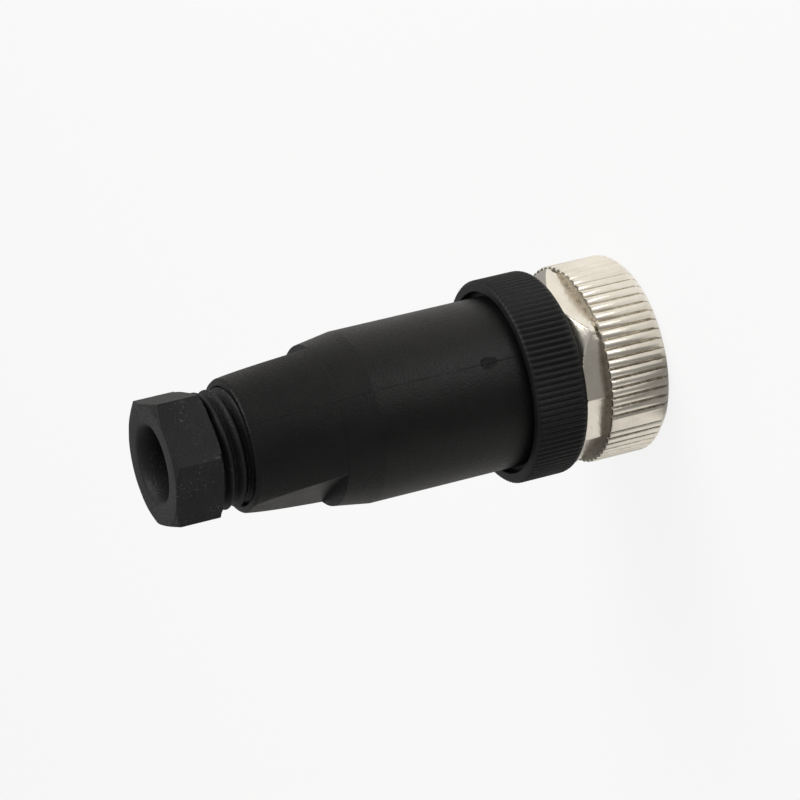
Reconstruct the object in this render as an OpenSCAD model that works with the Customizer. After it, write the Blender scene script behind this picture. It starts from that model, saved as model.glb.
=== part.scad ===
// M12 female cable connector, straight, with screw terminals and a hexagonal gland nut.
// It stands on the coupling nut: the mating face looks down, the cable leaves upwards along +Z.

/* [Coupling nut] */
// Diameter over the coarse knurl
nut_d = 20; // [19.2:0.1:21]
// Length of the knurled part, from the front rim
nut_knurl_l = 6.6; // [6.2:0.1:7.4]
// Length of the hexagon behind the knurl
nut_hex_l = 2.3; // [2.1:0.1:3]
// Step from the knurl down to the flats of the hexagon
nut_hex_step = 1.3; // [1.2:0.05:1.7]
// Chamfer of the front rim
nut_chamfer = 0.8; // [0.3:0.1:1]
// Number of ridges of the coarse knurl
nut_ridges = 62; // [40:1:80]
// Depth of the coarse knurl
nut_ridge_h = 0.36; // [0.15:0.01:0.45]
// Core diameter of the inner coupling thread
nut_bore_d = 10.92; // [10.8:0.02:11.1]
// Diameter of the undercut behind the coupling thread
nut_undercut_d = 11.4; // [11:0.05:11.8]
// Opening of the nut's rear collar
nut_collar_d = 8.7; // [8.6:0.05:9.2]
// Thickness of the nut's rear collar
nut_collar_l = 1; // [0.8:0.1:1.6]

/* [Contact carrier] */
// Diameter of the plug-in nose
nose_d = 8.2; // [8:0.05:8.4]
// Set-back of the nose from the nut's rim
nose_setback = 0.8; // [0.3:0.1:1.5]
// Diameter of the circle that contacts 1 to 4 stand on
contact_circle_d = 5; // [4.8:0.05:5.1]
// Width of the coding keyway
keyway_w = 1.1; // [0.8:0.1:1.4]
// Depth of the coding keyway
keyway_h = 0.85; // [0.5:0.05:0.9]
// Diameter of the neck that the nut's collar turns on
neck_d = 8.4; // [8.3:0.05:8.5]
// Height of the flange that the union ring pulls on
flange_lip = 1.2; // [0.9:0.05:1.4]
// Thickness of that flange
flange_l = 1.2; // [1:0.1:1.6]
// Gap between the terminal section and the shell, per side
carrier_gap = 0.3; // [0.2:0.05:0.5]
// Length of the terminal section behind the flange
carrier_l = 8; // [7.8:0.1:9]
// Diameter of the column that holds the middle terminal
column_d = 5.8; // [5.6:0.1:5.9]
// Length of the column
column_l = 5; // [4.8:0.1:5.6]

/* [Contacts and terminal screws] */
// Outer diameter of a socket contact
socket_d = 1.9; // [1.7:0.05:2]
// Diameter of the mating pin
pin_d = 1; // [0.9:0.05:1.1]
// Depth of the pin hole
socket_depth = 6.5; // [5:0.1:7]
// Width and depth of a terminal block
block_w = 3; // [2.8:0.05:3.1]
// Length of a terminal block
block_l = 4.2; // [3.8:0.1:4.4]
// Diameter of the wire hole
wire_d = 1.7; // [1.2:0.05:1.8]
// Diameter of a terminal screw's shank
screw_d = 1.9; // [1.6:0.05:2]
// Diameter of a terminal screw's head
screw_head_d = 2.5; // [2.3:0.05:2.6]
// Length of a terminal screw's head
screw_head_l = 1.1; // [0.8:0.05:1.2]

/* [Seals and clip] */
// Thickness of the C-clip that keeps the nut on the carrier
clip_l = 0.6; // [0.5:0.05:0.7]
// Outer diameter of the C-clip
clip_d = 10.3; // [9.8:0.05:10.6]
// Gap angle of the C-clip
clip_gap = 60; // [40:5:90]
// Thickness of the face seal
face_seal_l = 1.1; // [0.8:0.05:1.4]
// Outer diameter of the face seal
face_seal_d = 10.6; // [10:0.05:10.7]
// Section diameter of the O-ring between carrier and shell
o_ring_d = 1.1; // [1:0.05:1.2]

/* [Union ring] */
// How much wider the union ring is than the coupling nut
ring_over = 0.6; // [0.4:0.1:2]
// Length of the ring
ring_l = 5.7; // [5.5:0.1:7]
// Thickness of the ring's front web
ring_web = 1; // [0.8:0.1:1.2]
// Rounding of the front edge
ring_round = 1; // [0.4:0.1:1.1]
// Number of ridges of the fine knurl
ring_ridges = 102; // [80:1:120]
// Depth of the fine knurl
ring_ridge_h = 0.2; // [0.1:0.01:0.25]
// Wall of the ring outside its rear recess
ring_rim = 1.1; // [0.9:0.05:1.3]
// Step from the recess down to the thread between ring and shell
ring_step = 1; // [0.8:0.05:1.1]
// Depth of the rear recess
ring_recess_l = 0.9; // [0.7:0.1:1.2]
// Number of moulding pockets in the rear face
ring_pockets = 3; // [1:1:6]

/* [Shell] */
// Gap between the shell and the ring's recess, per side
shell_gap = 0.58; // [0.4:0.02:0.7]
// Length of the straight part, from the carrier's flange to the cone
shell_straight_l = 19; // [18:0.1:22]
// Length of the conical part
shell_cone_l = 12.7; // [12:0.1:15]
// Diameter of the rear end
shell_rear_d = 13.26; // [13.2:0.02:14]
// Width across the wrench flats
shell_flat_af = 13.1; // [12.9:0.02:13.2]
// Distance from the start of the cone to the wrench flats
shell_flat_start = 3.65; // [3:0.05:5]
// Wall of the shell inside the union thread
shell_wall = 0.7; // [0.6:0.05:0.8]
// Bore that takes the grommet
shell_chamber_d = 10.5; // [10.3:0.05:10.7]

/* [Gland] */
// Outer diameter of the gland thread
gland_thread_d = 11.74; // [11.4:0.02:11.8]
// Pitch of the gland thread
gland_pitch = 1.25; // [1:0.05:1.5]
// Length of the gland nut's threaded shank
gland_shank_l = 7.75; // [7.2:0.05:9]
// Thread left showing between shell and head
gland_gap = 3.1; // [2.6:0.05:3.4]
// Width across the flats of the gland nut
gland_af = 12; // [11.9:0.1:13]
// Length of the gland nut's head
gland_head_l = 4.9; // [4:0.1:6]
// Diameter of the cable bore
cable_d = 6.6; // [5.5:0.1:6.8]
// Diameter of the bell mouth
mouth_d = 8.6; // [7.4:0.1:9]
// Length of the grommet
grommet_l = 5.2; // [4.6:0.1:5.3]
// Hole of the grommet
grommet_hole_d = 6; // [4:0.1:6.4]
// Length of the clamping cage
cage_l = 4; // [3.6:0.1:4.2]
// Number of fingers of the clamping cage
cage_fingers = 8; // [6:1:10]

/* [Hidden] */
$fn = 96;

// Clearances
eps = 0.02;                 // overlap of a cut past the face it opens
running = 0.05;             // turning or screwed fit, per side
sliding = 0.1;              // loose fit, per side
nut_play = 0.1;             // axial play of the coupling nut on either side
ring_gap = 0.25;            // gap that shows between the nut and the union ring

// Angles about the axis
nut_hex_angle = -74;        // one corner of the nut's hexagon
nut_mark_angle = -131;      // the plane that trims one corner of the hexagon
nut_mark_drop = 0.07;       // how much closer to the axis it lies than the other flats
nut_panel_angle = -134.5;   // the smooth panel in the coarse knurl
shell_parting_angle = -77;  // mould parting line of the shell; the flats lie across it
gland_hex_angle = -98;      // one corner of the gland nut
ring_pocket_angle = 154;    // first moulding pocket
ring_pocket_step = 22.5;    // angle from pocket to pocket
keyway_angle = 90;
contact_step = 90;          // angle from contact to contact
quarter = 90;

// Diameters that follow the coupling nut, from the outside inwards
nut_hex_af = nut_d - 2 * nut_hex_step;
ring_d = nut_d + ring_over;
ring_recess_d = ring_d - 2 * ring_rim;
union_thread_d = ring_recess_d - 2 * ring_step;
hub_d = union_thread_d - 2 * flange_lip;
shell_d = ring_recess_d - 2 * shell_gap;
shell_bore_d = union_thread_d - 2 * shell_wall;
carrier_d = shell_bore_d - 2 * carrier_gap;

// Stations along the axis, from the nut's rim upwards
nut_l = nut_knurl_l + nut_hex_l;
collar_z = nut_l - nut_collar_l;
clip_z = collar_z - nut_play - clip_l;
face_seal_z = clip_z - running - face_seal_l;
thread_end_z = face_seal_z - sliding;   // inner end of the coupling thread
hub_z = nut_l + nut_play;
ring_z = nut_l + ring_gap;
flange_z = ring_z + ring_web + running;
carrier_z = flange_z + flange_l;
carrier_top = carrier_z + carrier_l;
column_top = carrier_top + column_l;
shell_z = carrier_z + running;
cone_z = shell_z + shell_straight_l;
flat_z = cone_z + shell_flat_start;
shell_top = cone_z + shell_cone_l;
head_z = shell_top + gland_gap;
gland_top = head_z + gland_head_l;
shank_z = head_z - gland_shank_l;
tighten = 2 * gland_pitch;  // travel of the gland nut from rest to tight
cage_drop = 0.4;            // how far the cage stands out of the shank
cage_z = shank_z - cage_drop;
grommet_top = cage_z - tighten - sliding;
seat_z = grommet_top - grommet_l;
seat_web = 1;               // thickness of the shoulder under the grommet
shoulder_z = ring_z + ring_l - ring_recess_l + sliding;

// Smaller sizes
hub_clearance = 0.2;
coarse_crest = 0.56;        // share of the pitch that is crest, coarse knurl
fine_crest = 0.5;           // the same, fine knurl
nut_panel_w = 1.65;
nut_panel_drop = 0.06;      // how much lower the smooth panel lies than the crests
nut_entry = 0.7;            // lead-in chamfer of the coupling thread
nut_hex_corner_d = nut_d - 0.1;
nut_hex_chamfer_d = nut_hex_af + 0.2;
nut_hex_chamfer_l = 1.45;
groove_depth = 0.3;         // depth of the clip's groove
seal_depth = 0.2;           // depth of the face seal's seat
seal_offset = 0.4;          // from the lugs to the O-ring
socket_front = 0.8;         // wall in front of the sockets
pin_entry_d = pin_d + 0.3;  // hole in the carrier's front that a pin enters
socket_slot_w = 0.3;
socket_slot_share = 0.6;    // slotted share of the socket's depth
block_r = 4;                // distance of the outer terminal blocks from the axis
block_foot = 3;             // carrier wall in front of the outer terminal blocks
column_foot = 0.4;
wire_wall = 0.6;            // floor under the wire hole
screw_slot_w = 0.35;
screw_slot_h = 0.5;
screw_tip = 0.4;            // how far a screw's tip stops short of its wire hole's centre
lug_w = 1.6;                // anti-turn lugs of the carrier
lug_l = 1.2;
lug_root = 0.5;             // how deep a lug starts inside the carrier
lug_r = union_thread_d / 2 - 0.45;
seal_z = carrier_z + lug_l + seal_offset;
ring_chamfer = 0.4;         // width of the ring's rear chamfer
ring_chamfer_l = 0.3;
pocket_w = 1.5;
pocket_h = 0.5;
pocket_l = 0.8;
pocket_rim = 0.2;           // rim between a pocket and the recess
thread_in_z = grommet_top - 0.5;
wall_cone_l = 2.6;          // cone between the wiring space and the throat
throat_d = 8.4;
shell_rim_round = 0.3;
grommet_cone_l = 0.6;
grommet_cone_drop = 0.55;
gland_recess_d = 9.9;
gland_cone_l = 1.6;
gland_face_d = 12.2;
hex_chamfer_angle = 30;
gland_entry_d = 12.8;       // diameter that the head's front chamfer starts at
mouth_l = 2.4;
cage_wall = 1.4;
cage_ring_l = 1;            // closed ring that carries the fingers
cage_cone_l = 1;
cage_tip_wall = 0.4;        // wall left at the fingers' tips
cage_slot_w = 0.5;

// Colours
nickel = [0.80, 0.77, 0.71];
plastic_black = [0.12, 0.12, 0.13];
carrier_black = [0.16, 0.16, 0.17];
gold = [0.83, 0.66, 0.28];
rubber_grey = [0.24, 0.25, 0.26];
steel = [0.66, 0.67, 0.70];
cage_grey = [0.55, 0.56, 0.57];

// Outline of a straight knurl: flat crests with a V groove between each two
function knurl_points(r, h, n, crest) = [
    for (i = [0 : n - 1], k = [0 : 2])
        let (a = (i + [-crest / 2, crest / 2, 0.5][k]) * 360 / n, q = k == 2 ? r - h : r)
        [q * cos(a), q * sin(a)]
];

// Ring-shaped solid between two diameters
module tube(d_out, d_in, l) {
    difference() {
        cylinder(d = d_out, h = l);
        translate([0, 0, -eps]) cylinder(d = d_in, h = l + 2 * eps);
    }
}

// Angle of contact n, 1 to 4, counted from beside the keyway
function contact_angle(n) = keyway_angle + contact_step / 2 - contact_step * (n - 1);

// ---- Coupling nut ----

module knurled_front() {
    intersection() {
        linear_extrude(height = nut_knurl_l)
            polygon(knurl_points(nut_d / 2, nut_ridge_h, nut_ridges, coarse_crest));
        cylinder(d1 = nut_d - 2 * nut_chamfer, d2 = nut_d - 2 * nut_chamfer + 2 * nut_l, h = nut_l);
    }
}

module knurl_panel() {
    rotate([0, 0, nut_panel_angle])
        translate([nut_d / 4, -nut_panel_w / 2, nut_chamfer])
            cube([nut_d / 4 - nut_panel_drop, nut_panel_w, nut_knurl_l - nut_chamfer]);
}

module nut_hexagon() {
    translate([0, 0, nut_knurl_l])
        intersection() {
            rotate([0, 0, nut_hex_angle])
                cylinder(d = nut_hex_af / cos(30), h = nut_hex_l, $fn = 6);
            rotate_extrude()
                polygon([
                    [0, -eps], [nut_hex_corner_d / 2, -eps],
                    [nut_hex_corner_d / 2, nut_hex_l - nut_hex_chamfer_l],
                    [nut_hex_chamfer_d / 2, nut_hex_l + eps], [0, nut_hex_l + eps]
                ]);
            rotate([0, 0, nut_mark_angle])
                translate([-nut_d, -nut_d, -eps])
                    cube([nut_d + nut_hex_af / 2 - nut_mark_drop, 2 * nut_d, nut_hex_l + 2 * eps]);
        }
}

module nut_bore() {
    entry_r = nut_bore_d / 2 + nut_entry;
    rotate_extrude()
        polygon([
            [0, -eps], [entry_r + eps, -eps], [nut_bore_d / 2, nut_entry], [nut_bore_d / 2, thread_end_z],
            [nut_undercut_d / 2, thread_end_z], [nut_undercut_d / 2, collar_z],
            [nut_collar_d / 2, collar_z], [nut_collar_d / 2, nut_l + eps], [0, nut_l + eps]
        ]);
}

module coupling_nut() {
    color(nickel)
    difference() {
        union() {
            knurled_front();
            knurl_panel();
            nut_hexagon();
        }
        nut_bore();
    }
}

module retaining_clip() {
    color(steel)
    translate([0, 0, clip_z])
        rotate([0, 0, keyway_angle + clip_gap / 2])
            rotate_extrude(angle = 360 - clip_gap)
                translate([nose_d / 2 - groove_depth + running, 0])
                    square([clip_d / 2 - nose_d / 2 + groove_depth - running, clip_l]);
}

module face_seal() {
    color(rubber_grey)
    translate([0, 0, face_seal_z])
        rotate_extrude() {
            in_r = nose_d / 2 - seal_depth + running;
            out_r = face_seal_d / 2;
            bead = face_seal_l / 3;
            translate([in_r, bead]) square([out_r - in_r, face_seal_l - bead]);
            translate([(in_r + out_r) / 2, bead]) circle(r = bead);
        }
}

// ---- Contact carrier ----

module terminal_pocket(l) {
    gap = 2 * running;
    translate([-(block_w + gap) / 2, -(block_w + gap) / 2, 0])
        cube([block_w + gap, block_w + gap, l]);
}

module screw_access(r0, r1) {
    rotate([0, quarter, 0])
        translate([0, 0, r0]) cylinder(d = screw_head_d + 2 * sliding, h = r1 - r0);
}

module carrier_body() {
    seat_from = face_seal_z - running;
    groove_from = clip_z - running;
    groove_to = clip_z + clip_l + running;
    translate([0, 0, nose_setback]) cylinder(d = nose_d, h = seat_from - nose_setback);
    translate([0, 0, seat_from - eps])
        cylinder(d = nose_d - 2 * seal_depth, h = groove_from - seat_from + eps);
    translate([0, 0, groove_from - eps])
        cylinder(d = nose_d - 2 * groove_depth, h = groove_to - groove_from + 2 * eps);
    translate([0, 0, groove_to]) cylinder(d = neck_d, h = hub_z - groove_to + eps);
    translate([0, 0, hub_z]) cylinder(d = hub_d, h = flange_z - hub_z + eps);
    translate([0, 0, flange_z]) cylinder(d = union_thread_d - 2 * running, h = flange_l);
    translate([0, 0, carrier_z - eps]) cylinder(d = carrier_d, h = carrier_l + eps);
    translate([0, 0, carrier_top - eps]) cylinder(d = column_d, h = column_l + eps);
    for (side = [0, 180])
        rotate([0, 0, side])
            translate([carrier_d / 2 - lug_root, -lug_w / 2, carrier_z - eps])
                cube([lug_r - carrier_d / 2 + lug_root, lug_w, lug_l]);
}

module contact_carrier() {
    color(carrier_black)
    difference() {
        carrier_body();
        // coding keyway
        rotate([0, 0, keyway_angle])
            translate([nose_d / 2 - keyway_h, -keyway_w / 2, nose_setback - eps])
                cube([keyway_h + 1, keyway_w, face_seal_z - nose_setback]);
        // groove of the O-ring
        translate([0, 0, seal_z - sliding])
            tube(shell_d, shell_bore_d - 2 * o_ring_d - 2 * running, o_ring_d + 2 * sliding);
        // contacts 1 to 4 with their terminals
        for (n = [1 : 4])
            rotate([0, 0, contact_angle(n)]) {
                translate([contact_circle_d / 2, 0, nose_setback - eps])
                    cylinder(d = pin_entry_d, h = socket_front + 2 * eps);
                translate([contact_circle_d / 2, 0, nose_setback + socket_front])
                    cylinder(d = socket_d + 2 * running, h = carrier_top);
                translate([block_r, 0, carrier_z + block_foot - running])
                    terminal_pocket(carrier_top);
                translate([0, 0, carrier_z + block_foot + block_l / 2])
                    screw_access(block_r, carrier_d);
            }
        // middle contact with its terminal
        translate([0, 0, nose_setback - eps])
            cylinder(d = pin_entry_d, h = socket_front + 2 * eps);
        translate([0, 0, nose_setback + socket_front])
            cylinder(d = socket_d + 2 * running, h = column_top);
        translate([0, 0, carrier_top + column_foot - running]) terminal_pocket(column_l);
        translate([0, 0, carrier_top + column_foot + block_l / 2]) screw_access(0, column_d);
    }
}

// ---- Contacts and terminal screws ----

// A slotted socket with a terminal block, the socket on the Z axis and the block offset along X
module contact(block_x, block_z) {
    z0 = nose_setback + socket_front;
    difference() {
        union() {
            translate([0, 0, z0]) cylinder(d = socket_d, h = block_z - z0 + eps);
            translate([block_x - block_w / 2, -block_w / 2, block_z]) cube([block_w, block_w, block_l]);
        }
        translate([0, 0, z0 - eps]) cylinder(d = pin_d, h = socket_depth);
        translate([-socket_d, -socket_slot_w / 2, z0 - eps])
            cube([2 * socket_d, socket_slot_w, socket_depth * socket_slot_share]);
        translate([block_x, 0, block_z + wire_wall]) cylinder(d = wire_d, h = block_l);
        translate([block_x, 0, block_z + block_l / 2])
            rotate([0, quarter, 0]) cylinder(d = screw_d + 2 * running, h = block_w);
    }
}

module outer_contact(n) {
    color(gold)
    rotate([0, 0, contact_angle(n)])
        translate([contact_circle_d / 2, 0, 0])
            contact(block_r - contact_circle_d / 2, carrier_z + block_foot);
}

module contact_1() { outer_contact(1); }
module contact_2() { outer_contact(2); }
module contact_3() { outer_contact(3); }
module contact_4() { outer_contact(4); }

module contact_5() {
    color(gold) contact(0, carrier_top + column_foot);
}

// A slotted cheese-head screw lying along X, with its head's face at x = face
module terminal_screw(face, centre) {
    color(steel)
    difference() {
        rotate([0, quarter, 0]) {
            translate([0, 0, centre + screw_tip]) cylinder(d = screw_d, h = face - centre - screw_tip);
            translate([0, 0, face - screw_head_l]) cylinder(d = screw_head_d, h = screw_head_l);
        }
        translate([face - screw_slot_h, -screw_head_d, -screw_slot_w / 2])
            cube([screw_slot_h + eps, 2 * screw_head_d, screw_slot_w]);
    }
}

module outer_screw(n) {
    rotate([0, 0, contact_angle(n)])
        translate([0, 0, carrier_z + block_foot + block_l / 2])
            terminal_screw(block_r + block_w / 2 + screw_head_l + sliding, block_r);
}

module terminal_screw_1() { outer_screw(1); }
module terminal_screw_2() { outer_screw(2); }
module terminal_screw_3() { outer_screw(3); }
module terminal_screw_4() { outer_screw(4); }

module terminal_screw_5() {
    translate([0, 0, carrier_top + column_foot + block_l / 2])
        terminal_screw(block_w / 2 + screw_head_l + sliding, 0);
}

// ---- Union ring, seal and shell ----

module ring_form() {
    intersection() {
        linear_extrude(height = ring_l)
            polygon(knurl_points(ring_d / 2, ring_ridge_h, ring_ridges, fine_crest));
        rotate_extrude() {
            r = ring_d / 2 + sliding;
            chamfer_z = ring_l - ring_chamfer_l;
            square([r - ring_round, ring_l - ring_chamfer_l]);
            translate([0, ring_round]) square([r, chamfer_z - ring_round]);
            translate([r - ring_round, ring_round]) circle(r = ring_round);
            polygon([
                [0, chamfer_z - eps], [r, chamfer_z - eps], [r - ring_chamfer, ring_l], [0, ring_l]
            ]);
        }
    }
}

module union_ring() {
    color(plastic_black)
    translate([0, 0, ring_z])
    difference() {
        ring_form();
        translate([0, 0, -eps]) cylinder(d = hub_d + 2 * hub_clearance, h = ring_l);
        translate([0, 0, ring_web]) cylinder(d = union_thread_d + 2 * running, h = ring_l);
        translate([0, 0, ring_l - ring_recess_l]) cylinder(d = ring_recess_d, h = ring_l);
        for (i = [0 : ring_pockets - 1])
            rotate([0, 0, ring_pocket_angle + i * ring_pocket_step])
                translate([ring_recess_d / 2 + pocket_rim, -pocket_w / 2, ring_l - pocket_l])
                    cube([pocket_h, pocket_w, pocket_l + eps]);
    }
}

module shell_seal() {
    color(rubber_grey)
    translate([0, 0, seal_z + o_ring_d / 2])
        rotate_extrude()
            translate([(shell_bore_d - o_ring_d - running) / 2, 0]) circle(d = o_ring_d);
}

module shell_form() {
    translate([0, 0, shell_z]) cylinder(d = union_thread_d, h = shoulder_z - shell_z + eps);
    translate([0, 0, shoulder_z]) cylinder(d = shell_d, h = cone_z - shoulder_z);
    translate([0, 0, cone_z]) cylinder(d1 = shell_d, d2 = shell_rear_d, h = shell_cone_l - shell_rim_round);
    translate([0, 0, shell_top - shell_rim_round])
        cylinder(d1 = shell_rear_d, d2 = shell_rear_d - shell_rim_round, h = shell_rim_round);
}

module wrench_flats() {
    for (side = [0, 180])
        rotate([0, 0, shell_parting_angle + quarter + side])
            translate([shell_flat_af / 2, -shell_d, flat_z])
                cube([shell_d, 2 * shell_d, shell_cone_l]);
}

module shell() {
    color(plastic_black)
    difference() {
        shell_form();
        wrench_flats();
        // bore of the carrier and the wiring space, which closes in to the grommet's seat
        translate([0, 0, shell_z - eps])
            cylinder(d = shell_bore_d, h = seat_z - seat_web - wall_cone_l - shell_z + 2 * eps);
        translate([0, 0, seat_z - seat_web - wall_cone_l])
            cylinder(d1 = shell_bore_d, d2 = throat_d, h = wall_cone_l);
        cylinder(d = throat_d, h = seat_z + eps);
        translate([0, 0, seat_z]) cylinder(d = shell_chamber_d, h = shell_top);
        translate([0, 0, thread_in_z]) cylinder(d = gland_thread_d + 2 * running, h = shell_top);
        // notches that the carrier's lugs enter
        for (side = [0, 180])
            rotate([0, 0, side])
                translate([0, -lug_w / 2 - sliding, shell_z - eps])
                    cube([shell_d, lug_w + 2 * sliding, lug_l + sliding]);
    }
}

// ---- Cable gland ----

module cable_grommet() {
    d = shell_chamber_d - 2 * running;
    straight_l = grommet_l - grommet_cone_l;
    color(rubber_grey)
    translate([0, 0, seat_z])
        difference() {
            union() {
                cylinder(d = d, h = straight_l);
                translate([0, 0, straight_l])
                    cylinder(d1 = d, d2 = d - 2 * grommet_cone_drop, h = grommet_cone_l);
            }
            translate([0, 0, -eps]) cylinder(d = grommet_hole_d, h = grommet_l + 2 * eps);
        }
}

module clamping_cage() {
    d = gland_recess_d - 2 * running;
    tip_d = d - 2 * (cage_wall - cage_tip_wall);
    color(cage_grey)
    translate([0, 0, cage_z])
        difference() {
            union() {
                cylinder(d = d, h = cage_l - cage_cone_l);
                translate([0, 0, cage_l - cage_cone_l]) cylinder(d1 = d, d2 = tip_d, h = cage_cone_l);
            }
            translate([0, 0, -eps]) cylinder(d = d - 2 * cage_wall, h = cage_l + 2 * eps);
            for (i = [0 : cage_fingers - 1])
                rotate([0, 0, (i + 0.5) * 360 / cage_fingers])
                    translate([0, -cage_slot_w / 2, cage_ring_l])
                        cube([d, cage_slot_w, cage_l]);
        }
}

// Hexagonal head with its corners turned off at both ends
module gland_head() {
    corner_d = gland_af / cos(30);
    drop = (corner_d - gland_face_d) / 2 * tan(hex_chamfer_angle);
    r = corner_d / 2 + running;
    intersection() {
        rotate([0, 0, gland_hex_angle]) cylinder(d = corner_d, h = gland_head_l, $fn = 6);
        rotate_extrude()
            polygon([
                [0, -eps], [gland_entry_d / 2, -eps], [r, drop / 2], [r, gland_head_l - drop],
                [gland_face_d / 2, gland_head_l + eps], [0, gland_head_l + eps]
            ]);
    }
}

// Half section of the hollow: cage seat, finger cone, cable bore and bell mouth
module gland_bore() {
    cone_z0 = cage_z + cage_l - cage_cone_l + sliding;
    mouth_r = (mouth_d - cable_d) / 2;
    mouth_step = quarter / 9;
    rotate_extrude()
        polygon(concat(
            [[0, shank_z - eps], [gland_recess_d / 2, shank_z - eps], [gland_recess_d / 2, cone_z0],
             [cable_d / 2, cone_z0 + gland_cone_l], [cable_d / 2, gland_top - mouth_l]],
            [for (a = [mouth_step : mouth_step : quarter])
                [cable_d / 2 + mouth_r * (1 - cos(a)), gland_top - mouth_l + mouth_l * sin(a)]],
            [[mouth_d / 2, gland_top + eps], [0, gland_top + eps]]
        ));
}

module gland_nut() {
    color(plastic_black)
    difference() {
        union() {
            translate([0, 0, head_z]) gland_head();
            translate([0, 0, shank_z]) cylinder(d = gland_thread_d, h = gland_shank_l + eps);
        }
        gland_bore();
    }
}

coupling_nut();
retaining_clip();
face_seal();
contact_carrier();
contact_1();
contact_2();
contact_3();
contact_4();
contact_5();
terminal_screw_1();
terminal_screw_2();
terminal_screw_3();
terminal_screw_4();
terminal_screw_5();
union_ring();
shell_seal();
shell();
cable_grommet();
clamping_cage();
gland_nut();
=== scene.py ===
import math

import bpy
from mathutils import Matrix, Vector

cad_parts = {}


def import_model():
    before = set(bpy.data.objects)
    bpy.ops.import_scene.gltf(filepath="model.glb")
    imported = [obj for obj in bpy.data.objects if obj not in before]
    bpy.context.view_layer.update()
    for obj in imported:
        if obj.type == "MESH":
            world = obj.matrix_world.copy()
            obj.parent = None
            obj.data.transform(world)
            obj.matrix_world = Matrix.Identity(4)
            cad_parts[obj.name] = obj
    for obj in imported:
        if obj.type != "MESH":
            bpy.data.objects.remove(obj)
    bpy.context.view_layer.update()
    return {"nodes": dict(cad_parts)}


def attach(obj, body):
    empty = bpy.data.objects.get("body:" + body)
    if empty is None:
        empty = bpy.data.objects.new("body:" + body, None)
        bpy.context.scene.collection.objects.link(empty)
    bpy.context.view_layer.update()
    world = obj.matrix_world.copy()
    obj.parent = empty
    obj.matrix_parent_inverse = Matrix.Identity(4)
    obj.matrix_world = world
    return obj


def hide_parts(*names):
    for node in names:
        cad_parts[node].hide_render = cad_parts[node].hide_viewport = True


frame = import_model()

MM = 0.001

# ---- Sizes in millimetres and angles in degrees, to match the CAD frame ----

NUT_R = 10.0
NUT_KNURL_L = 6.6
NUT_L = 8.9
NUT_CHAMFER = 0.8
NUT_RIDGES = 62
NUT_RIDGE_DEPTH = 0.36
PANEL_ANGLE = -134.5
PANEL_HALF_ANGLE = 4.7
NUT_HEX_AF = 17.4
NUT_HEX_CORNER_R = 9.95
NUT_HEX_CHAMFER_R = 8.8
NUT_HEX_CHAMFER_L = 1.45
NUT_CORNER_ANGLE = -74.0
NUT_TRIM_ANGLE = -131.0
NUT_TRIM_R = 8.63
NUT_FACE_R = 7.9
NUT_COLLAR_Z = 7.9
NUT_COLLAR_R = 4.35
NUT_UNDERCUT_R = 5.7
COUPLING_CORE_R = 5.46
COUPLING_MAJOR_R = 6.0
COUPLING_END_Z = 5.95

RING_Z = 9.15
RING_L = 5.7
RING_R = 10.3
RING_RIDGES = 102
RING_RIDGE_DEPTH = 0.2
RING_HUB_R = 7.2
RING_THREAD_R = 8.25
RING_RECESS_R = 9.2
RING_RECESS_L = 0.9

SHELL_Z = 11.45
SHELL_SHOULDER_Z = 14.05
SHELL_SHANK_R = 8.2
SHELL_R = 8.62
SHELL_CONE_Z = 30.45
SHELL_FLAT_Z = 34.1
SHELL_TOP = 43.15
SHELL_REAR_R = 6.63
SHELL_FLAT_AF = 13.1
SHELL_BORE_R = 7.5
SHELL_BORE_END_Z = 26.7
THROAT_R = 4.2
THROAT_Z = 29.3
CHAMBER_R = 5.25
SEAT_Z = 30.3
THREAD_IN_Z = 35.0
PARTING_ANGLE = -77.0
GATE_Z = 18.2

GLAND_SHANK_Z = 38.5
GLAND_HEAD_Z = 46.25
GLAND_TOP = 51.15
GLAND_R = 5.87
GLAND_PITCH = 1.25
GLAND_THREAD_DEPTH = 0.72
GLAND_AF = 12.0
GLAND_CORNER_R = 6.93
GLAND_CORNER_ANGLE = -98.0
GLAND_FACE_R = 6.1
GLAND_RECESS_R = 4.95
CAGE_CONE_Z = 41.2
CABLE_BORE_Z = 42.8
CABLE_R = 3.3
MOUTH_R = 4.3
MOUTH_L = 2.4


# ---- Node building ----

def wire(tree, source, socket):
    """Links a socket, or sets a plain value on it."""
    if isinstance(source, bpy.types.NodeSocket):
        tree.links.new(source, socket)
    elif source is not None:
        socket.default_value = source


def calc(tree, operation, a, b=None, c=None):
    node = tree.nodes.new("ShaderNodeMath")
    node.operation = operation
    for socket, value in zip(node.inputs, (a, b, c)):
        wire(tree, value, socket)
    return node.outputs[0]


def length(tree, a, b):
    return calc(tree, "SQRT", calc(tree, "ADD", calc(tree, "MULTIPLY", a, a), calc(tree, "MULTIPLY", b, b)))


def add_node(tree, kind, **settings):
    node = tree.nodes.new(kind)
    for name, value in settings.items():
        setattr(node, name, value)
    return node


# ---- The turned form: a half section carried round the axis, with ridges, a helix or flats on it ----

TURNED_INPUTS = (
    ("Segments", "NodeSocketInt", 360),
    ("Ridges", "NodeSocketInt", 1),
    ("Turns per metre", "NodeSocketFloat", 0.0),
    ("Ridge depth", "NodeSocketFloat", 0.0),
    ("Crest width", "NodeSocketFloat", 0.5),
    ("Panel angle", "NodeSocketFloat", 0.0),
    ("Panel half angle", "NodeSocketFloat", 0.0),
    ("Panel level", "NodeSocketFloat", 0.2),
    ("Flats", "NodeSocketInt", 6),
    ("Corner angle", "NodeSocketFloat", 0.0),
    ("Across flats", "NodeSocketFloat", 1.0),
    ("Trim angle", "NodeSocketFloat", 0.0),
    ("Trim distance", "NodeSocketFloat", 1.0),
    ("Edge softness", "NodeSocketFloat", 0.00008),
    ("Finish", "NodeSocketMaterial", None),
)


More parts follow.
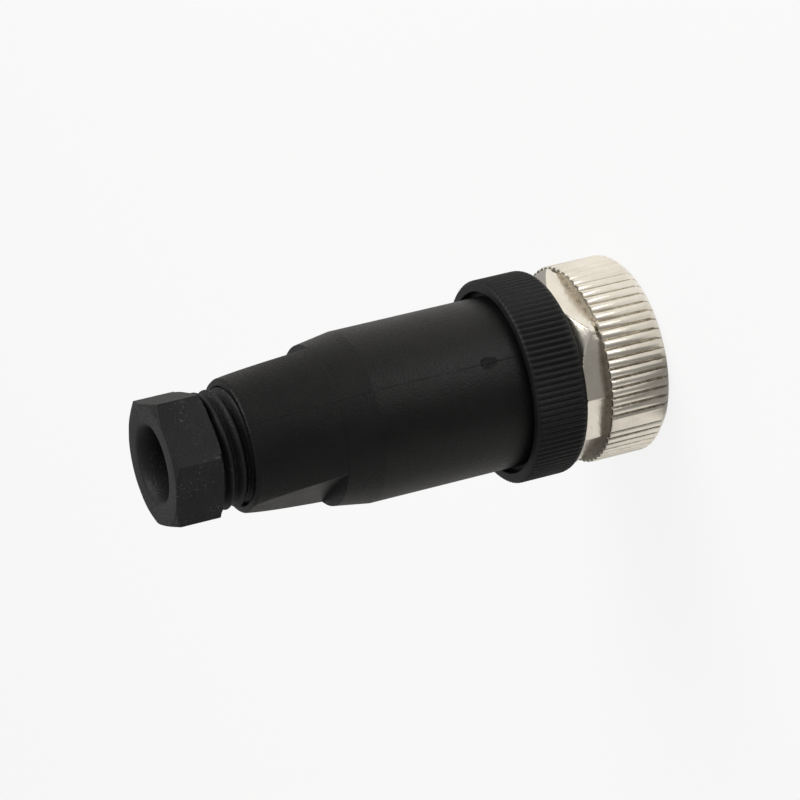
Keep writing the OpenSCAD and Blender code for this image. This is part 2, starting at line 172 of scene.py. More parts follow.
def turned_tree():
    """Builds the node tree that carries a half section round the axis.

    A point of the section holds its radius in x and its height in z. Its y is a share from -1 to 1: above 0
    the ridges act on it, below 0 the flats do.
    """
    tree = bpy.data.node_groups.new("turned_form", "GeometryNodeTree")
    face = tree.interface
    face.new_socket("Section", in_out="INPUT", socket_type="NodeSocketGeometry")
    for name, kind, value in TURNED_INPUTS:
        socket = face.new_socket(name, in_out="INPUT", socket_type=kind)
        if value is not None:
            socket.default_value = value
    face.new_socket("Form", in_out="OUTPUT", socket_type="NodeSocketGeometry")
    given = add_node(tree, "NodeGroupInput").outputs

    def m(operation, a, b=None, c=None):
        return calc(tree, operation, a, b, c)

    count = add_node(tree, "GeometryNodeAttributeDomainSize")
    wire(tree, given["Section"], count.inputs[0])
    points = count.outputs["Point Count"]
    grid = add_node(tree, "GeometryNodeMeshGrid")
    wire(tree, m("ADD", given["Segments"], 1), grid.inputs["Vertices X"])
    wire(tree, points, grid.inputs["Vertices Y"])

    index = add_node(tree, "GeometryNodeInputIndex").outputs[0]
    column = m("FLOOR", m("DIVIDE", m("ADD", index, 0.5), points))
    row = m("SUBTRACT", index, m("MULTIPLY", column, points))
    place = add_node(tree, "GeometryNodeInputPosition").outputs[0]
    sample = add_node(tree, "GeometryNodeSampleIndex", data_type="FLOAT_VECTOR", domain="POINT")
    wire(tree, given["Section"], sample.inputs["Geometry"])
    wire(tree, place, sample.inputs["Value"])
    wire(tree, row, sample.inputs["Index"])
    split = add_node(tree, "ShaderNodeSeparateXYZ")
    wire(tree, sample.outputs[0], split.inputs[0])
    radius, share, height = split.outputs

    turn = m("DIVIDE", column, given["Segments"])
    angle = m("MULTIPLY", turn, math.tau)

    # ridges: wide rounded crests with narrow grooves, straight or as a helix
    phase = m("ADD", m("MULTIPLY", turn, given["Ridges"]), m("MULTIPLY", height, given["Turns per metre"]))
    wave = m("ABSOLUTE", m("SINE", m("MULTIPLY", phase, math.pi)))
    groove = m("SUBTRACT", 1, m("POWER", wave, given["Crest width"]))
    off_panel = m("ABSOLUTE", m("WRAP", m("SUBTRACT", angle, given["Panel angle"]), math.pi, -math.pi))
    on_panel = m("LESS_THAN", off_panel, given["Panel half angle"])
    level = m("ADD", m("MULTIPLY", groove, m("SUBTRACT", 1, on_panel)),
              m("MULTIPLY", on_panel, given["Panel level"]))
    sunk = m("MULTIPLY", m("MULTIPLY", level, given["Ridge depth"]), m("MAXIMUM", share, 0))
    ridged = m("SUBTRACT", radius, sunk)

    # flats: a regular polygon, and one more plane across a corner
    step = m("DIVIDE", math.tau, given["Flats"])
    part = m("FLOORED_MODULO", m("SUBTRACT", angle, given["Corner angle"]), step)
    lean = m("MAXIMUM", m("COSINE", m("SUBTRACT", part, m("DIVIDE", step, 2))), 0.02)
    flat = m("DIVIDE", m("DIVIDE", given["Across flats"], 2), lean)
    trim_lean = m("MAXIMUM", m("COSINE", m("SUBTRACT", angle, given["Trim angle"])), 0.02)
    trim = m("DIVIDE", given["Trim distance"], trim_lean)
    cut = m("SMOOTH_MIN", m("SMOOTH_MIN", radius, flat, given["Edge softness"]), trim, given["Edge softness"])
    flatness = m("MINIMUM", m("MAXIMUM", m("MULTIPLY", share, -1), 0), 1)
    final = m("ADD", m("MULTIPLY", ridged, m("SUBTRACT", 1, flatness)), m("MULTIPLY", cut, flatness))

    join = add_node(tree, "ShaderNodeCombineXYZ")
    wire(tree, m("MULTIPLY", final, m("COSINE", angle)), join.inputs[0])
    wire(tree, m("MULTIPLY", final, m("SINE", angle)), join.inputs[1])
    wire(tree, height, join.inputs[2])
    moved = add_node(tree, "GeometryNodeSetPosition")
    wire(tree, grid.outputs["Mesh"], moved.inputs["Geometry"])
    wire(tree, join.outputs[0], moved.inputs["Position"])
    closed = add_node(tree, "GeometryNodeMergeByDistance")
    wire(tree, moved.outputs[0], closed.inputs["Geometry"])
    closed.inputs["Distance"].default_value = 0.001 * MM
    real = add_node(tree, "GeometryNodeRealizeInstances")
    wire(tree, closed.outputs[0], real.inputs[0])
    finish = add_node(tree, "GeometryNodeSetMaterial")
    wire(tree, real.outputs[0], finish.inputs["Geometry"])
    wire(tree, given["Finish"], finish.inputs["Material"])
    out = add_node(tree, "NodeGroupOutput")
    wire(tree, finish.outputs[0], out.inputs["Form"])
    return tree


TURNED = turned_tree()


def section(corners, soft=0.06, steps=3):
    """A closed half section from (radius, height, share) corners, each one eased by a short curve."""
    points = []
    for i, (r, z, share) in enumerate(corners):
        here = Vector((r, z))
        before = Vector(corners[i - 1][:2]) - here
        after = Vector(corners[(i + 1) % len(corners)][:2]) - here
        sharp = before.length < 1e-6 or after.length < 1e-6 or abs(before.angle(after) - math.pi) < 0.12
        if sharp:
            points.append((r, z, share))
            continue
        a = here + before.normalized() * min(soft, before.length * 0.4)
        b = here + after.normalized() * min(soft, after.length * 0.4)
        for k in range(steps + 1):
            t = k / steps
            p = a * (1 - t) ** 2 + here * 2 * t * (1 - t) + b * t ** 2
            points.append((p.x, p.y, share))
    return points + points[:1]


def rows(r0, z0, r1, z1, share, step):
    """Even stations from one corner to the next, both included."""
    n = max(1, round(math.hypot(r1 - r0, z1 - z0) / step))
    return [(r0 + (r1 - r0) * k / n, z0 + (z1 - z0) * k / n, share) for k in range(n + 1)]


def turned(name, points, material, crease, **inputs):
    mesh = bpy.data.meshes.new(name)
    mesh.from_pydata([(r * MM, share, z * MM) for r, z, share in points],
                     [(i, i + 1) for i in range(len(points) - 1)], [])
    source = bpy.data.objects.new(name + "_section", mesh)
    bpy.context.scene.collection.objects.link(source)
    modifier = source.modifiers.new("turned_form", "NODES")
    modifier.node_group = TURNED
    ids = {s.name: s.identifier for s in TURNED.interface.items_tree if s.in_out == "INPUT"}
    for key, value in {**inputs, "Finish": material}.items():
        modifier[ids[key]] = value
    result = bpy.data.meshes.new_from_object(source.evaluated_get(bpy.context.evaluated_depsgraph_get()))
    result.name = name
    bpy.data.objects.remove(source)
    piece = bpy.data.objects.new(name, result)
    bpy.context.scene.collection.objects.link(piece)
    smooth(piece, crease)
    return piece


def smooth(piece, crease):
    mesh = piece.data
    mesh.polygons.foreach_set("use_smooth", [True] * len(mesh.polygons))
    mesh.set_sharp_from_angle(angle=math.radians(crease))
    mesh.update()


def share_of_ridge(r, crest_r, depth):
    """How much of the ridge depth is left where an end chamfer has cut down to radius r."""
    return min(1.0, max(0.0, (r - crest_r + depth) / depth))


# ---- Finishes ----

class Finish:
    """A material with one Principled shader and object coordinates in millimetres."""

    def __init__(self, name, **fixed):
        self.material = bpy.data.materials.new(name)
        self.material.use_nodes = True
        self.tree = self.material.node_tree
        self.shader = self.tree.nodes["Principled BSDF"]
        for key, value in fixed.items():
            self.shader.inputs[key.replace("_", " ")].default_value = value
        place = add_node(self.tree, "ShaderNodeTexCoord").outputs["Object"]
        scale = add_node(self.tree, "ShaderNodeVectorMath", operation="SCALE")
        wire(self.tree, place, scale.inputs[0])
        scale.inputs["Scale"].default_value = 1 / MM
        self.place = scale.outputs[0]
        self.bumps = None

    def m(self, operation, a, b=None, c=None):
        return calc(self.tree, operation, a, b, c)

    def noise(self, scale, detail=2.0, rough=0.5):
        node = add_node(self.tree, "ShaderNodeTexNoise")
        wire(self.tree, self.place, node.inputs["Vector"])
        node.inputs["Scale"].default_value = scale
        node.inputs["Detail"].default_value = detail
        node.inputs["Roughness"].default_value = rough
        return node.outputs[0]

    def cells(self, scale):
        node = add_node(self.tree, "ShaderNodeTexVoronoi")
        wire(self.tree, self.place, node.inputs["Vector"])
        node.inputs["Scale"].default_value = scale
        return node.outputs["Distance"]

    def remap(self, value, low, high, to_low=0.0, to_high=1.0):
        node = add_node(self.tree, "ShaderNodeMapRange")
        wire(self.tree, value, node.inputs[0])
        for i, v in enumerate((low, high, to_low, to_high)):
            node.inputs[i + 1].default_value = v
        return node.outputs[0]

    def mix(self, factor, a, b):
        node = add_node(self.tree, "ShaderNodeMix", data_type="RGBA")
        wire(self.tree, factor, node.inputs["Factor"])
        for name, value in (("A", a), ("B", b)):
            socket = next(s for s in node.inputs if s.name == name and s.type == "RGBA")
            wire(self.tree, value if isinstance(value, bpy.types.NodeSocket) else (*value, 1), socket)
        return next(s for s in node.outputs if s.type == "RGBA")

    def along(self):
        split = add_node(self.tree, "ShaderNodeSeparateXYZ")
        wire(self.tree, self.place, split.inputs[0])
        return split.outputs

    def bump(self, height, strength, distance):
        node = add_node(self.tree, "ShaderNodeBump")
        node.inputs["Strength"].default_value = strength
        node.inputs["Distance"].default_value = distance * MM
        wire(self.tree, height, node.inputs["Height"])
        if self.bumps is not None:
            wire(self.tree, self.bumps, node.inputs["Normal"])
        self.bumps = node.outputs[0]
        wire(self.tree, self.bumps, self.shader.inputs["Normal"])

    def colour(self, socket):
        wire(self.tree, socket, self.shader.inputs["Base Color"])

    def roughness(self, socket):
        wire(self.tree, socket, self.shader.inputs["Roughness"])


def nickel_finish():
    f = Finish("satin_nickel", Metallic=1.0)
    x, y, z = f.along()
    cloud = f.noise(0.6, 4.0)
    fine = f.noise(7.0, 4.0, 0.65)
    coarse = f.noise(1.6, 4.0, 0.6)
    radius = length(f.tree, x, y)
    # tarnish and painted shade in the knurl's grooves, the shade standing in for their shadow, strongest where the
    # cast surface is uneven
    turn = f.m("DIVIDE", f.m("ARCTAN2", y, x), math.tau)
    phase = f.m("ADD", f.m("MULTIPLY", turn, NUT_RIDGES), f.m("MULTIPLY", fine, 0.16))
    ridge = f.m("ABSOLUTE", f.m("SINE", f.m("MULTIPLY", phase, math.pi)))
    uneven = f.remap(coarse, 0.35, 0.65, 0.12, 0.42)
    groove = f.m("SUBTRACT", 1, f.m("MINIMUM", f.m("DIVIDE", ridge, uneven), 1))
    from_panel = f.m("SUBTRACT", f.m("MULTIPLY", turn, 360), PANEL_ANGLE)
    panel = f.m("ABSOLUTE", f.m("WRAP", from_panel, 180.0, -180.0))
    outside = f.m("MULTIPLY", f.m("LESS_THAN", z, NUT_KNURL_L - 0.05), f.m("GREATER_THAN", radius, 9.3))
    knurled = f.m("MULTIPLY", outside, f.m("GREATER_THAN", panel, PANEL_HALF_ANGLE))
    tarnish_and_painted_shade = f.m("MULTIPLY", groove, knurled)
    # and painted shade on the step between the knurl and the hexagon, picked by the way its face points, and in the
    # corner above it
    face = add_node(f.tree, "ShaderNodeSeparateXYZ")
    wire(f.tree, add_node(f.tree, "ShaderNodeTexCoord").outputs["Normal"], face.inputs[0])
    step = f.m("MULTIPLY", f.m("GREATER_THAN", face.outputs[2], 0.7),
               f.m("LESS_THAN", f.m("ABSOLUTE", f.m("SUBTRACT", z, NUT_KNURL_L)), 0.12))
    ragged = f.m("ADD", z, f.m("MULTIPLY", fine, 0.5))
    above = f.m("ABSOLUTE", f.m("SUBTRACT", ragged, NUT_KNURL_L + 0.3))
    corner = f.m("MULTIPLY", f.remap(above, 0.12, 0.3, 1.0, 0.0), f.remap(coarse, 0.42, 0.58))
    tarnish_and_painted_shade = f.m("MAXIMUM", tarnish_and_painted_shade, f.m("MULTIPLY", step, 0.85))
    tarnish_and_painted_shade = f.m("MAXIMUM", tarnish_and_painted_shade, f.m("MULTIPLY", corner, 0.5))
    # painted shade in the cast pits, with some tarnish
    pits = f.remap(f.cells(2.6), 0.03, 0.14, 1.0, 0.0)
    pitted = f.m("MULTIPLY", pits, f.remap(coarse, 0.5, 0.62))
    tarnish_and_painted_shade = f.m("MAXIMUM", tarnish_and_painted_shade, f.m("MULTIPLY", pitted, 0.7))
    metal = f.mix(f.remap(cloud, 0.35, 0.7), (0.86, 0.81, 0.72), (0.78, 0.725, 0.63))
    # the brown mix paints tarnish together with the shade of the grooves, the step, the corner and the pits
    f.colour(f.mix(f.m("MULTIPLY", tarnish_and_painted_shade, 0.85), metal, (0.13, 0.105, 0.075)))
    f.roughness(f.m("ADD", f.remap(cloud, 0.3, 0.7, 0.16, 0.24), f.m("MULTIPLY", tarnish_and_painted_shade, 0.25)))
    f.bump(fine, 0.5, 0.025)
    f.bump(f.m("SUBTRACT", 1, pitted), 0.6, 0.05)
    return f.material


def moulded_finish(name, dark, light, rough, grain_scale, grain, wear=0.0):
    f = Finish(name, Specular_IOR_Level=0.22)
    cloud = f.noise(0.35, 3.0)
    fine = f.noise(grain_scale, 2.5, 0.6)
    base = f.mix(f.remap(cloud, 0.3, 0.7), dark, light)
    if wear:
        patch = f.remap(f.noise(0.42, 2.0), 0.5, 0.66)
        scuffs = f.m("MULTIPLY", f.remap(f.noise(3.6, 5.0, 0.75), 0.56, 0.7), patch)
        base = f.mix(f.m("MULTIPLY", scuffs, wear), base, (0.17, 0.17, 0.175))
        f.bump(scuffs, 0.5, 0.03)
    f.colour(base)
    f.roughness(f.m("ADD", f.remap(fine, 0.3, 0.7, rough - 0.06, rough + 0.08),
                    f.remap(cloud, 0.3, 0.7, -0.03, 0.03)))
    f.bump(fine, 1.0, grain)
    return f


def shell_finish():
    f = moulded_finish("shell_plastic", dark=(0.0055, 0.0052, 0.0052), light=(0.0085, 0.0078, 0.0076),
                       rough=0.36, grain_scale=5.5, grain=0.06)
    x, y, z = f.along()
    turn = math.radians(PARTING_ANGLE)
    across = f.m("SUBTRACT", f.m("MULTIPLY", x, math.sin(turn)), f.m("MULTIPLY", y, math.cos(turn)))
    broken = f.remap(f.noise(1.5, 2.0), 0.4, 0.55, 0.25, 1.0)
    line = f.m("MULTIPLY", f.remap(f.m("ABSOLUTE", across), 0.0, 0.07, 1.0, 0.0), broken)
    f.bump(line, 0.9, 0.035)
    # the mark of the mould's gate, torn off level with the wall
    outward = f.m("ADD", f.m("MULTIPLY", x, math.cos(turn)), f.m("MULTIPLY", y, math.sin(turn)))
    facing = f.m("GREATER_THAN", outward, 0)
    torn = f.noise(3.2, 3.0, 0.7)
    du = f.m("DIVIDE", across, 0.62)
    dz = f.m("DIVIDE", f.m("SUBTRACT", z, GATE_Z), 0.95)
    away = f.m("ADD", length(f.tree, du, dz), f.m("MULTIPLY", f.m("SUBTRACT", torn, 0.5), 0.9))
    gate = f.m("MULTIPLY", f.remap(away, 0.7, 1.0, 1.0, 0.0), facing)
    f.bump(f.m("MULTIPLY", gate, f.m("ADD", f.m("MULTIPLY", torn, 1.6), -1.2)), 1.0, 0.16)
    return f.material


def plain_finish(name, colour, rough, metallic=0.0, grain=10.0, strength=0.2):
    f = Finish(name, Metallic=metallic)
    cloud = f.noise(0.8, 3.0)
    darker = tuple(c * 0.8 for c in colour)
    f.colour(f.mix(f.remap(cloud, 0.3, 0.7), colour, darker))
    f.roughness(f.remap(f.noise(grain, 2.0), 0.3, 0.7, rough - 0.05, rough + 0.08))
    f.bump(f.noise(grain * 1.3, 2.0), strength, 0.02)
    return f.material


NICKEL = nickel_finish()
RING_PLASTIC = moulded_finish("ring_plastic", dark=(0.007, 0.007, 0.0072), light=(0.011, 0.011, 0.0115),
                              rough=0.42, grain_scale=6.0, grain=0.05, wear=0.12).material
SHELL_PLASTIC = shell_finish()
GLAND_PLASTIC = moulded_finish("gland_plastic", dark=(0.0105, 0.0105, 0.011), light=(0.016, 0.016, 0.0165),
                               rough=0.46, grain_scale=4.5, grain=0.06, wear=0.75).material
CARRIER_PLASTIC = moulded_finish("carrier_plastic", dark=(0.02, 0.02, 0.021), light=(0.028, 0.028, 0.03),
                                 rough=0.42, grain_scale=7.0, grain=0.03).material
CAGE_PLASTIC = plain_finish("cage_plastic", (0.25, 0.255, 0.26), 0.5)
RUBBER = plain_finish("seal_rubber", (0.05, 0.05, 0.052), 0.7, 0.0, 6.0, 0.3)
GOLD = plain_finish("gold_plate", (0.83, 0.62, 0.24), 0.25, 1.0)
STEEL = plain_finish("plain_steel", (0.6, 0.6, 0.62), 0.3, 1.0)


def dress(node, material):
    mesh = frame["nodes"][node].data
    mesh.materials.clear()
    mesh.materials.append(material)


dress("contact_carrier", CARRIER_PLASTIC)
dress("clamping_cage", CAGE_PLASTIC)
dress("retaining_clip", STEEL)
for seal in ("face_seal", "shell_seal", "cable_grommet"):
    dress(seal, RUBBER)
for number in range(1, 6):
    dress(f"contact_{number}", GOLD)
    dress(f"terminal_screw_{number}", STEEL)


# ---- Coupling nut ----

def coupling_nut():
    crest = lambda r: share_of_ridge(r, NUT_R, NUT_RIDGE_DEPTH)
    front = [(r, r - NUT_R + NUT_CHAMFER, crest(r)) for r in (NUT_R - NUT_CHAMFER, NUT_R - NUT_RIDGE_DEPTH)]
    front += [(NUT_R - 0.12, NUT_CHAMFER - 0.12, crest(NUT_R - 0.12)), (NUT_R, NUT_CHAMFER + 0.06, 1.0)]
    back = [(NUT_R, NUT_KNURL_L - 0.16, 1.0), (NUT_R - 0.05, NUT_KNURL_L - 0.05, crest(NUT_R - 0.05)),
            (NUT_R - 0.2, NUT_KNURL_L, crest(NUT_R - 0.2)), (NUT_R - NUT_RIDGE_DEPTH, NUT_KNURL_L, 0.0)]
    hexagon = rows(NUT_HEX_CORNER_R, NUT_KNURL_L, NUT_HEX_CORNER_R, NUT_L - NUT_HEX_CHAMFER_L, -1.0, 0.4)
    hexagon[0] = (NUT_R - NUT_RIDGE_DEPTH - 0.1, NUT_KNURL_L, -1.0)
    chamfer = rows(NUT_HEX_CORNER_R, NUT_L - NUT_HEX_CHAMFER_L, NUT_HEX_CHAMFER_R, NUT_L - 0.03, -1.0, 0.15)
    bore = [(NUT_HEX_CHAMFER_R - 0.05, NUT_L, -1.0), (NUT_FACE_R, NUT_L, 0.0), (NUT_COLLAR_R, NUT_L, 0.0),
            (NUT_COLLAR_R, NUT_COLLAR_Z, 0.0), (NUT_UNDERCUT_R, NUT_COLLAR_Z, 0.0),
            (NUT_UNDERCUT_R, COUPLING_END_Z, 0.0), (COUPLING_MAJOR_R + 0.05, COUPLING_END_Z, 0.0),
            (COUPLING_MAJOR_R + 0.05, 0.55, 0.0), (COUPLING_MAJOR_R + 0.3, 0.0, 0.0)]
    outline = front + back + hexagon + chamfer[1:] + bore
    nut = turned("knurled_nut", outline + outline[:1], NICKEL, crease=28.0, **{
        "Segments": 12 * NUT_RIDGES, "Ridges": NUT_RIDGES, "Ridge depth": NUT_RIDGE_DEPTH * MM, "Crest width": 0.6,
        "Panel angle": math.radians(PANEL_ANGLE), "Panel half angle": math.radians(PANEL_HALF_ANGLE),
        "Panel level": 0.17, "Flats": 6, "Corner angle": math.radians(NUT_CORNER_ANGLE), "Across flats": NUT_HEX_AF * MM,
        "Trim angle": math.radians(NUT_TRIM_ANGLE), "Trim distance": NUT_TRIM_R * MM, "Edge softness": 0.06 * MM})
    thread = section(
        [(COUPLING_MAJOR_R + 0.1, 0.5, 0.0), (COUPLING_MAJOR_R + 0.1, COUPLING_END_Z, 0.0),
         (COUPLING_CORE_R + 0.1, COUPLING_END_Z, 0.0)]
        + rows(COUPLING_CORE_R, COUPLING_END_Z - 0.05, COUPLING_CORE_R, 0.75, 1.0, 0.08)
        + [(COUPLING_CORE_R + 0.35, 0.5, 0.2)], 0.02, 1)
    inner = turned("coupling_thread", thread, NICKEL, crease=60.0, **{
        "Segments": 180, "Ridges": -1, "Turns per metre": 1000.0,
        "Ridge depth": (COUPLING_CORE_R - COUPLING_MAJOR_R) * MM, "Crest width": 0.9})
    for piece in (nut, inner):
        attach(piece, "coupling_nut")
    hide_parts("coupling_nut")


# ---- Union ring ----

def union_ring():
    crest = lambda r: share_of_ridge(r, RING_R, RING_RIDGE_DEPTH)
    top = RING_Z + RING_L
    arc = [(RING_R - 1 + math.sin(math.radians(d)), RING_Z + 1 - math.cos(math.radians(d))) for d in range(0, 91, 9)]
    front = [(r, z, crest(r)) for r, z in arc]
    back = [(RING_R, top - 0.36, 1.0), (RING_R - 0.04, top - 0.26, crest(RING_R - 0.04)),
            (RING_R - 0.2, top - 0.1, crest(RING_R - 0.2)), (RING_R - 0.3, top - 0.02, 0.0),
            (RING_R - 0.36, top, 0.0), (RING_RECESS_R + 0.06, top, 0.0), (RING_RECESS_R, top - 0.06, 0.0),
            (RING_RECESS_R, top - RING_RECESS_L, 0.0), (RING_THREAD_R, top - RING_RECESS_L, 0.0),
            (RING_THREAD_R, RING_Z + 1, 0.0), (RING_HUB_R, RING_Z + 1, 0.0), (RING_HUB_R, RING_Z, 0.0)]
    outline = front + back
    ring = turned("knurled_ring", outline + outline[:1], RING_PLASTIC, crease=35.0, **{
        "Segments": 10 * RING_RIDGES, "Ridges": RING_RIDGES, "Ridge depth": RING_RIDGE_DEPTH * MM, "Crest width": 1.3})
    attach(ring, "union_ring")
    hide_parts("union_ring")


# ---- Shell ----

def shell():
    top = SHELL_TOP

    def cone_r(z):
        return SHELL_R + (SHELL_REAR_R - SHELL_R) * (z - SHELL_CONE_Z) / (top - SHELL_CONE_Z)

    flats = rows(cone_r(SHELL_FLAT_Z), SHELL_FLAT_Z, cone_r(top - 0.2), top - 0.2, -1.0, 0.22)
    outline = (
        [(SHELL_BORE_R, SHELL_Z, 0.0), (SHELL_SHANK_R, SHELL_Z, 0.0), (SHELL_SHANK_R, SHELL_SHOULDER_Z, 0.0),
         (SHELL_R - 0.1, SHELL_SHOULDER_Z, 0.0), (SHELL_R, SHELL_SHOULDER_Z + 0.1, 0.0),
         (SHELL_R, SHELL_CONE_Z - 0.05, 0.0), (cone_r(SHELL_CONE_Z + 0.05), SHELL_CONE_Z + 0.05, 0.0),
         (cone_r(SHELL_FLAT_Z - 0.04), SHELL_FLAT_Z - 0.04, 0.0),
         (cone_r(SHELL_FLAT_Z) - 0.03, SHELL_FLAT_Z, 0.0)]
        + flats
        + [(SHELL_REAR_R - 0.03, top - 0.1, -1.0), (SHELL_REAR_R - 0.12, top - 0.02, -1.0),
           (SHELL_REAR_R - 0.2, top, -1.0), (GLAND_R + 0.15, top, 0.0), (GLAND_R + 0.05, top - 0.08, 0.0),
           (GLAND_R + 0.05, THREAD_IN_Z, 0.0), (CHAMBER_R, THREAD_IN_Z, 0.0), (CHAMBER_R, SEAT_Z, 0.0),
           (THROAT_R, SEAT_Z, 0.0), (THROAT_R, THROAT_Z, 0.0), (SHELL_BORE_R, SHELL_BORE_END_Z, 0.0)])
    body = turned("tapered_shell", outline + outline[:1], SHELL_PLASTIC, crease=30.0, **{
        "Segments": 720, "Flats": 2, "Corner angle": math.radians(PARTING_ANGLE),
        "Across flats": SHELL_FLAT_AF * MM, "Edge softness": 0.1 * MM})
    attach(body, "shell")
    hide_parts("shell")


# ---- Gland nut ----

def gland_nut():
    drop = (GLAND_CORNER_R - GLAND_FACE_R) * math.tan(math.radians(30))
    root_r = GLAND_R - GLAND_THREAD_DEPTH
    shank = rows(GLAND_R, GLAND_SHANK_Z + 0.5, GLAND_R, GLAND_HEAD_Z - 0.55, 1.0, 0.07)
    head = rows(GLAND_CORNER_R + 0.05, GLAND_HEAD_Z + 0.3, GLAND_CORNER_R + 0.05, GLAND_TOP - drop, -1.0, 0.5)
    chamfer = rows(GLAND_CORNER_R + 0.05, GLAND_TOP - drop, GLAND_FACE_R, GLAND_TOP - 0.02, -1.0, 0.08)
    mouth = [(CABLE_R + (MOUTH_R - CABLE_R) * (1 - math.cos(a)), GLAND_TOP - MOUTH_L * (1 - math.sin(a)), 0.0)
             for a in (math.radians(d) for d in range(90, -1, -10))]
    outline = (
        [(GLAND_RECESS_R, GLAND_SHANK_Z, 0.0), (root_r, GLAND_SHANK_Z, 0.0)] + shank
        + [(root_r, GLAND_HEAD_Z - 0.4, 0.0), (root_r, GLAND_HEAD_Z, 0.0), (6.0, GLAND_HEAD_Z, 0.0),
           (6.3, GLAND_HEAD_Z, -1.0), (6.5, GLAND_HEAD_Z + 0.06, -1.0)]
        + head + chamfer[1:] + [(GLAND_FACE_R - 0.06, GLAND_TOP, -1.0), (5.8, GLAND_TOP, 0.0)] + mouth
        + [(CABLE_R, CABLE_BORE_Z, 0.0), (GLAND_RECESS_R, CAGE_CONE_Z, 0.0)])
    nut = turned("hexagon_gland", outline + outline[:1], GLAND_PLASTIC, crease=32.0, **{
        "Segments": 360, "Ridges": -1, "Turns per metre": 1000.0 / GLAND_PITCH,
        "Ridge depth": GLAND_THREAD_DEPTH * MM, "Crest width": 1.7, "Flats": 6,
        "Corner angle": math.radians(GLAND_CORNER_ANGLE), "Across flats": GLAND_AF * MM,
        "Edge softness": 0.09 * MM})
    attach(nut, "gland_nut")
    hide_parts("gland_nut")


coupling_nut()
union_ring()
shell()
gland_nut()


# ---- Floor, light and camera ----

# painted reflection on the floor: how bright metal and gloss see it, as (azimuth in degrees, level), and in metres
# from where to where it dims
PAINTED_FLOOR_REFLECTION = ((-180, 0.75), (-150, 0.8), (-134, 0.3), (-104, 0.26), (-92, 0.7), (-50, 0.95), (0, 1.0),
                   (40, 0.75), (80, 0.4), (112, 0.35), (140, 0.6))
PAINTED_REFLECTION_FULL_R = 0.1
PAINTED_REFLECTION_DIM_R = 0.45
PAINTED_REFLECTION_DIM_LEVEL = 0.22
FLOOR_HALF = 3.0


def floor():
    mesh = bpy.data.meshes.new("floor")
    corners = [(x * FLOOR_HALF, y * FLOOR_HALF, 0) for x, y in ((-1, -1), (1, -1), (1, 1), (-1, 1))]
    mesh.from_pydata(corners, [], [(0, 1, 2, 3)])
    piece = bpy.data.objects.new("floor", mesh)
    bpy.context.scene.collection.objects.link(piece)
    material = bpy.data.materials.new("white_floor_painted_reflection")
    material.use_nodes = True
    tree = material.node_tree
    tree.nodes.clear()
    lit = add_node(tree, "ShaderNodeBsdfDiffuse")
    lit.inputs["Color"].default_value = (0.82, 0.82, 0.82, 1)
    glow = add_node(tree, "ShaderNodeEmission")
    glow.inputs["Color"].default_value = (1, 1, 1, 1)
    glow.inputs["Strength"].default_value = 1.0
    blend = add_node(tree, "ShaderNodeMixShader")
    path = add_node(tree, "ShaderNodeLightPath")
    seen = calc(tree, "MULTIPLY", path.outputs["Is Camera Ray"], 0.85)
    wire(tree, seen, blend.inputs[0])
    wire(tree, lit.outputs[0], blend.inputs[1])
    wire(tree, glow.outputs[0], blend.inputs[2])
    # painted reflection, what metal and gloss see of the floor: a glow graded by azimuth and distance that stands in
    # for a lit middle, a dimmer room around it, and two darker sides
    place = add_node(tree, "ShaderNodeSeparateXYZ")
    wire(tree, add_node(tree, "ShaderNodeTexCoord").outputs["Object"], place.inputs[0])
    around = calc(tree, "ARCTAN2", place.outputs[1], place.outputs[0])
    turn = calc(tree, "ADD", calc(tree, "DIVIDE", around, math.tau), 0.5)
    shade = add_node(tree, "ShaderNodeValToRGB")
    shade.color_ramp.interpolation = "EASE"
    while len(shade.color_ramp.elements) < len(PAINTED_FLOOR_REFLECTION):
        shade.color_ramp.elements.new(0.5)
    for element, (azimuth, level) in zip(shade.color_ramp.elements, PAINTED_FLOOR_REFLECTION):
        element.position = azimuth / 360 + 0.5
        element.color = (level, level * 0.985, level * 0.955, 1)
    wire(tree, turn, shade.inputs[0])
    # painted reflection: an emission that only gloss and transmission rays see
    painted_reflection = add_node(tree, "ShaderNodeEmission")
    wire(tree, shade.outputs[0], painted_reflection.inputs["Color"])
    far = length(tree, place.outputs[0], place.outputs[1])
    fall = add_node(tree, "ShaderNodeMapRange", interpolation_type="SMOOTHSTEP")
    wire(tree, far, fall.inputs[0])
    for i, v in enumerate((PAINTED_REFLECTION_FULL_R, PAINTED_REFLECTION_DIM_R, 1.0, PAINTED_REFLECTION_DIM_LEVEL)):
        fall.inputs[i + 1].default_value = v
    wire(tree, fall.outputs[0], painted_reflection.inputs["Strength"])
    both = add_node(tree, "ShaderNodeMixShader")
    reflected = calc(tree, "MAXIMUM", path.outputs["Is Glossy Ray"], path.outputs["Is Transmission Ray"])
    wire(tree, reflected, both.inputs[0])
    wire(tree, blend.outputs[0], both.inputs[1])
    wire(tree, painted_reflection.outputs[0], both.inputs[2])
    out = add_node(tree, "ShaderNodeOutputMaterial")
    wire(tree, both.outputs[0], out.inputs[0])
    mesh.materials.append(material)


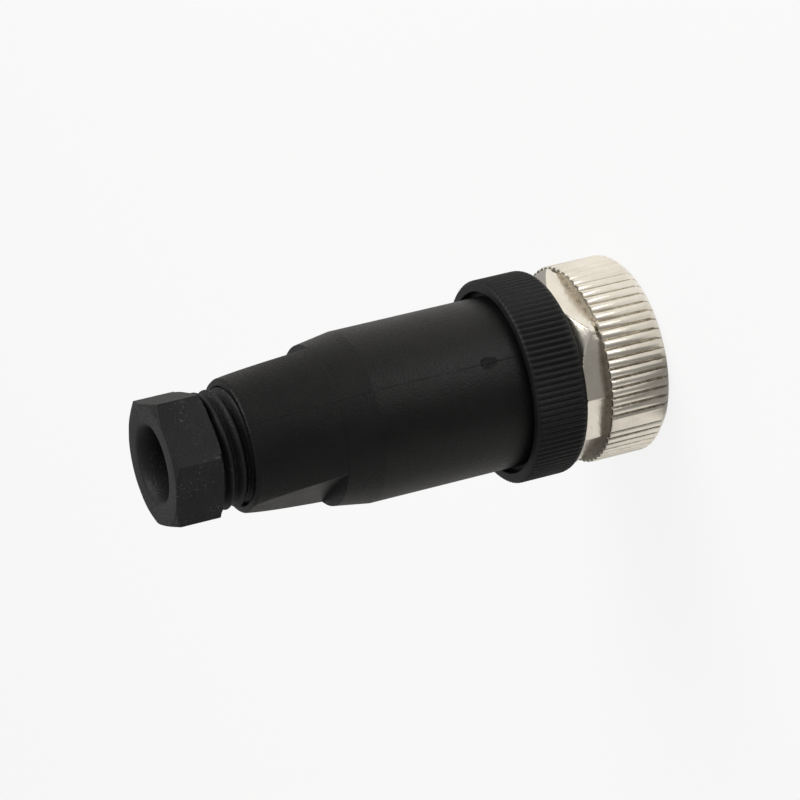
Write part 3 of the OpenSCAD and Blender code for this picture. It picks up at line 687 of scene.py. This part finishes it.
def strip(name, azimuth, near, far, width, power):
    """A lamp lying on the floor, pointing away from the axis, that shines up at the part's side."""
    data = bpy.data.lights.new(name, "AREA")
    data.shape = "RECTANGLE"
    data.size, data.size_y = far - near, width
    data.energy = power
    a = math.radians(azimuth)
    item = bpy.data.objects.new(name, data)
    out = Vector((math.cos(a), math.sin(a), 0))
    item.matrix_world = (Matrix.Translation(out * (near + far) / 2 + Vector((0, 0, 0.002)))
                         @ Matrix.Rotation(a, 4, "Z") @ Matrix.Rotation(math.pi, 4, "X"))
    item.visible_camera = False
    bpy.context.scene.collection.objects.link(item)


def lamp(name, azimuth, elevation, distance, size, power, colour):
    data = bpy.data.lights.new(name, "AREA")
    data.shape = "RECTANGLE"
    data.size, data.size_y = size
    data.energy = power
    data.color = colour
    a, e = math.radians(azimuth), math.radians(elevation)
    middle = Vector((0, 0, 0.022))
    out = Vector((math.cos(e) * math.cos(a), math.cos(e) * math.sin(a), math.sin(e)))
    item = bpy.data.objects.new(name, data)
    facing = out.to_track_quat("Z", "Y").to_matrix().to_4x4()
    item.matrix_world = Matrix.Translation(middle + out * distance) @ facing
    bpy.context.scene.collection.objects.link(item)


def world():
    sky = bpy.data.worlds.new("studio")
    sky.use_nodes = True
    sky.node_tree.nodes["Background"].inputs["Color"].default_value = (1, 1, 1, 1)
    sky.node_tree.nodes["Background"].inputs["Strength"].default_value = 0.4
    bpy.context.scene.world = sky


def camera():
    rise = math.radians(21.5)
    roll = math.radians(103.6)
    distance = 0.4
    aim = Vector((0, 0, 25.15 * MM))
    back = Vector((0, -math.cos(rise), math.sin(rise)))
    side = Vector((1, 0, 0))
    up = back.cross(side)
    right = side * math.cos(roll) - up * math.sin(roll)
    top = side * math.sin(roll) + up * math.cos(roll)
    data = bpy.data.cameras.new("camera")
    data.sensor_width = 36.0
    data.lens = 183.6
    data.shift_x = 0.0025
    data.shift_y = 0.0069
    data.clip_start = 0.01
    data.clip_end = 20.0
    item = bpy.data.objects.new("camera", data)
    turn = Matrix((right, top, back)).transposed().to_4x4()
    item.matrix_world = Matrix.Translation(aim + back * distance) @ turn
    bpy.context.scene.collection.objects.link(item)
    bpy.context.scene.camera = item


floor()
world()
lamp("key", azimuth=-8, elevation=48, distance=0.5, size=(0.34, 0.34), power=1.5, colour=(1.0, 0.985, 0.96))
strip("low_strip", azimuth=-62, near=0.03, far=0.1, width=0.02, power=0.012)
camera()
bpy.context.scene.view_settings.view_transform = "Standard"
